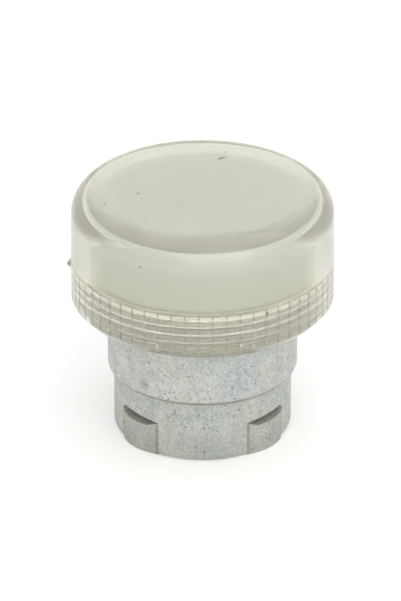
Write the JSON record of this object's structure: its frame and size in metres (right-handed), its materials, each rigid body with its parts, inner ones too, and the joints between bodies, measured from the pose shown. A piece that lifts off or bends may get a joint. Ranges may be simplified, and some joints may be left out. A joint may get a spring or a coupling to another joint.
{
  "type": "indicator lamp head",
  "caption": "Panel indicator lamp head: clear screw-on lens cap with a fluted skirt over an opal diffuser, on a die-cast sleeve that fits a round panel hole.",
  "frame": {"origin": "centre of the sleeve's rear end face, on which the head stands", "axes": "+Z along the axis from the sleeve's rear end to the lens; -Y is the front of the picture"},
  "size_m": [0.0304, 0.0304, 0.0302],
  "materials": {
    "die_cast_zinc": "satin",
    "gasket_elastomer": "matte",
    "seal_silicone": "matte",
    "opal_plastic": "matte",
    "clear_plastic": "gloss"
  },
  "bodies": {
    "sleeve": {"metal_sleeve": "die_cast_zinc", "panel_gasket": "gasket_elastomer"},
    "seal": {"lens_seal": "seal_silicone"},
    "lens": {"lens_cap": "clear_plastic", "diffuser": "opal_plastic"}
  },
  "joints": [
    {"name": "lens_lift", "type": "slide", "parent": "sleeve", "child": "seal", "axis": [0, 0, 1], "range_m": [0, 0.0033]},
    {"name": "lens_turn", "type": "hinge", "parent": "seal", "child": "lens", "pos_m": [0, 0, 0.022], "axis": [0, 0, 1], "range_deg": [0, 1170]}
  ],
  "couplings": [
    {"joint": "lens_lift", "follows": "lens_turn", "m_per_rad": 0.00015915}
  ]
}
